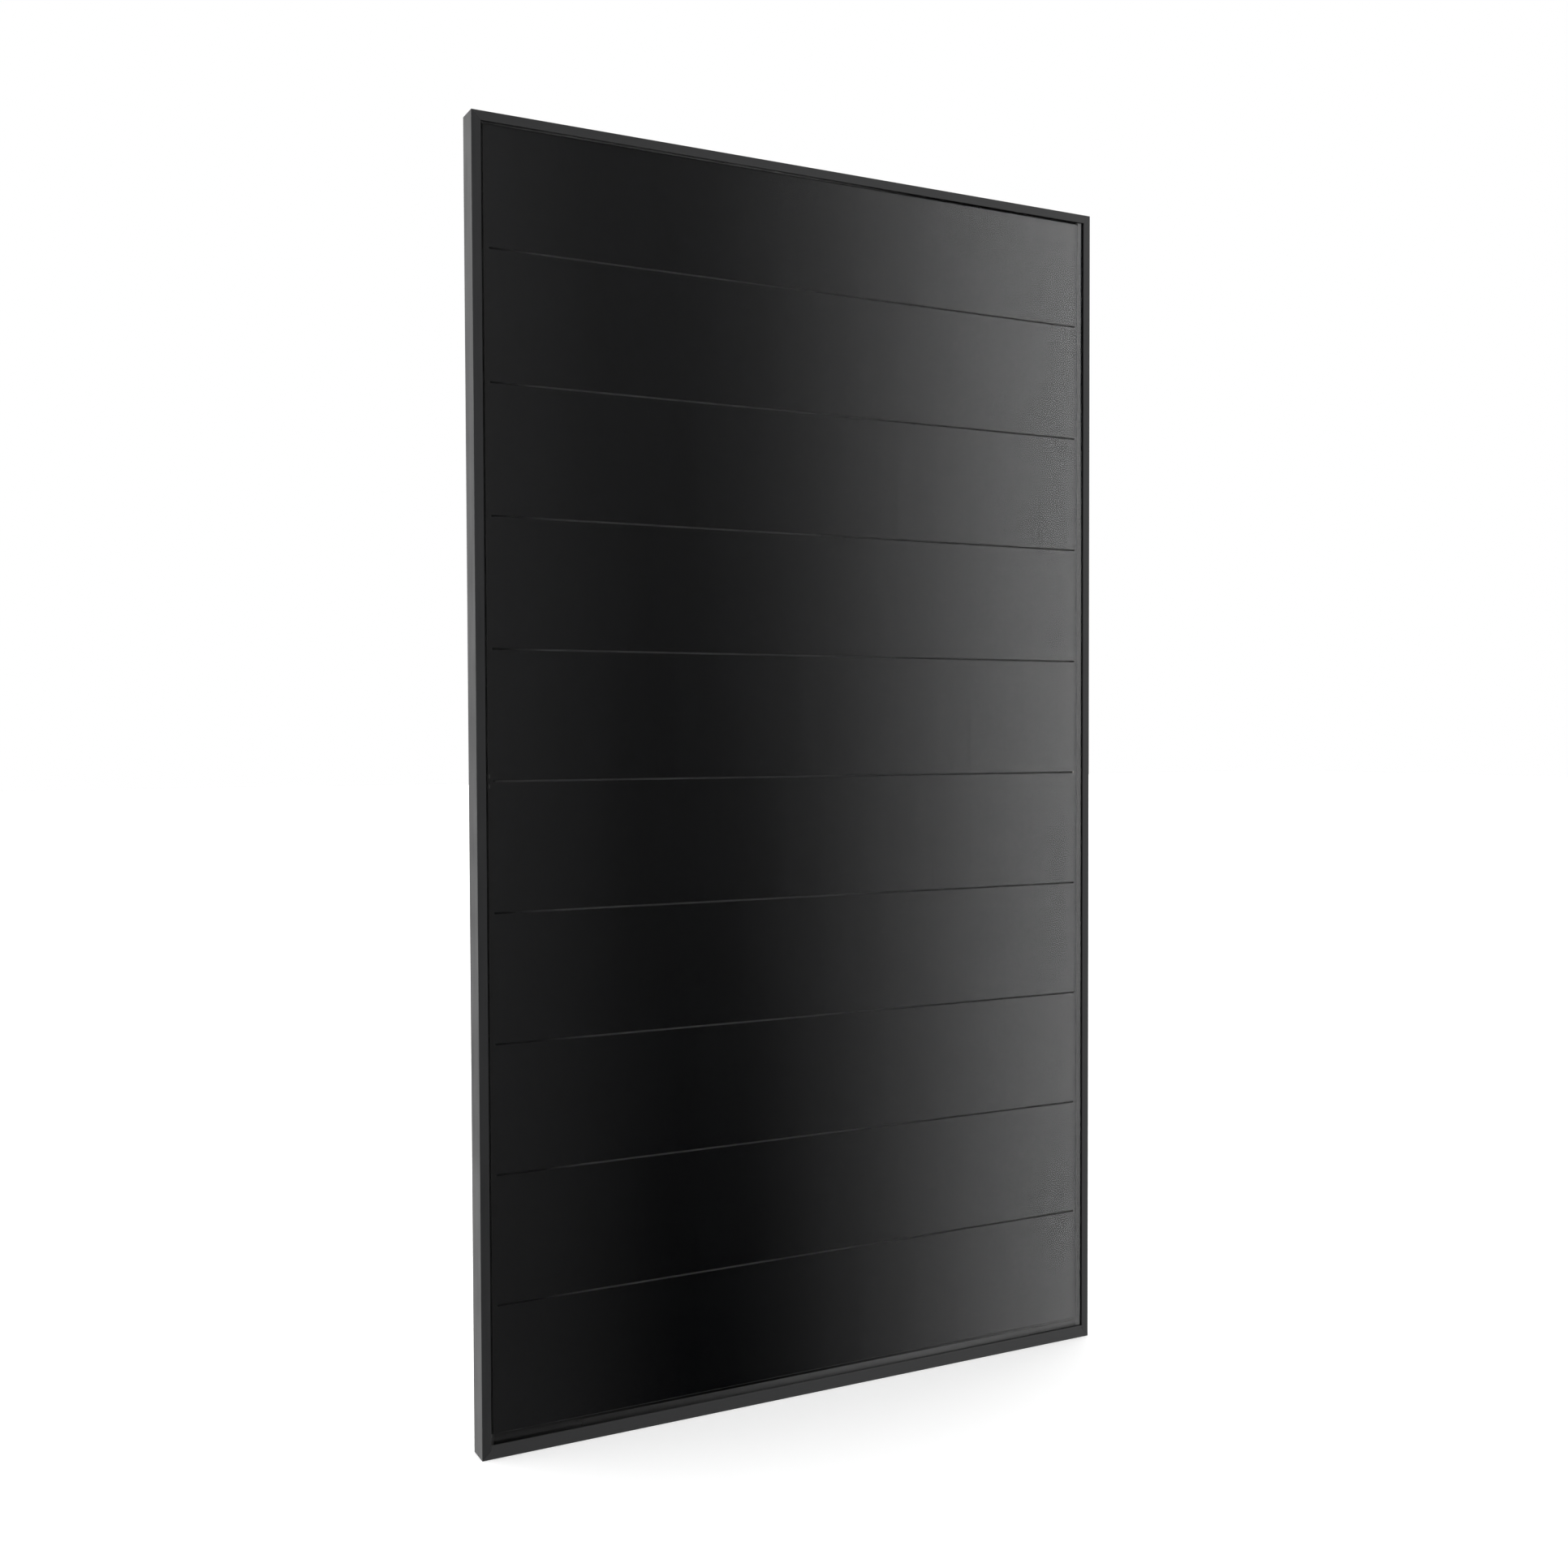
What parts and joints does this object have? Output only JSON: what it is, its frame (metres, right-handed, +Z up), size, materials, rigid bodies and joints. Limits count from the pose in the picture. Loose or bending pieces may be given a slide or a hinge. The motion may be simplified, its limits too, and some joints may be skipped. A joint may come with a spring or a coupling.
{
  "type": "solar panel",
  "caption": "Upright framed all-black solar panel with shingled cell strings, rear mounting slots and a rear junction box with a lift-off lid.",
  "frame": {"origin": "middle of the footprint, on the surface that the bottom rail stands on", "axes": "+Z up along the panel's long side, -Y out of the glass face, +X to the right of someone who faces the glass"},
  "size_m": [0.97, 0.035, 1.722],
  "materials": {
    "black_anodised_aluminium": "black anodised, fine satin grain along the extrusion",
    "corner_key_aluminium": "plain mill finish",
    "black_silicone": "matt cured silicone",
    "solar_glass": "tempered, fine anti-reflective texture on the front",
    "encapsulant": "laminated film, clear in front and black behind",
    "silicon_cell": "smooth blue-black nitride coat with fine printed grid lines",
    "black_bus_ribbon": "black-coated flat ribbon",
    "tinned_copper": "tin-plated copper",
    "black_film": "matt polymer film with faint emboss",
    "junction_box_plastic": "moulded black plastic, fine spark texture",
    "label_film": "satin silver polyester film, blank",
    "diode_epoxy": "moulded epoxy"
  },
  "bodies": {
    "panel": {"frame_rail_left": "black_anodised_aluminium", "frame_rail_bottom": "black_anodised_aluminium", "frame_rail_right": "black_anodised_aluminium", "frame_rail_top": "black_anodised_aluminium", "corner_key_bottom_left": "corner_key_aluminium", "corner_key_bottom_right": "corner_key_aluminium", "corner_key_top_right": "corner_key_aluminium", "corner_key_top_left": "corner_key_aluminium", "channel_seal_left": "black_silicone", "channel_seal_bottom": "black_silicone", "channel_seal_right": "black_silicone", "channel_seal_top": "black_silicone", "junction_box_adhesive": "black_silicone", "gland_seal_positive": "black_silicone", "gland_seal_negative": "black_silicone", "front_glass": "solar_glass", "front_encapsulant": "encapsulant", "rear_encapsulant": "encapsulant", "cell_string_01": "silicon_cell", "cell_string_02": "silicon_cell", "cell_string_03": "silicon_cell", "cell_string_04": "silicon_cell", "cell_string_05": "silicon_cell", "cell_string_06": "silicon_cell", "cell_string_07": "silicon_cell", "cell_string_08": "silicon_cell", "cell_string_09": "silicon_cell", "cell_string_10": "silicon_cell", "bus_ribbon_left_upper": "black_bus_ribbon", "bus_ribbon_left_lower": "black_bus_ribbon", "bus_ribbon_right": "black_bus_ribbon", "lead_ribbon_positive": "tinned_copper", "lead_ribbon_middle": "tinned_copper", "lead_ribbon_negative": "tinned_copper", "terminal_positive": "tinned_copper", "terminal_middle": "tinned_copper", "terminal_negative": "tinned_copper", "lead_insulator": "black_film", "backsheet": "black_film", "junction_box_base": "junction_box_plastic", "cable_gland_positive": "junction_box_plastic", "cable_gland_negative": "junction_box_plastic", "rating_label": "label_film", "bypass_diode_1": "diode_epoxy", "bypass_diode_2": "diode_epoxy"},
    "junction_box_cover": {"junction_box_lid": "junction_box_plastic", "junction_box_lid_seal": "black_silicone"}
  },
  "joints": [
    {"name": "junction_box_lid_lift", "type": "slide", "parent": "panel", "child": "junction_box_cover", "axis": [0, 1, 0], "range_m": [0, 0.04]}
  ]
}
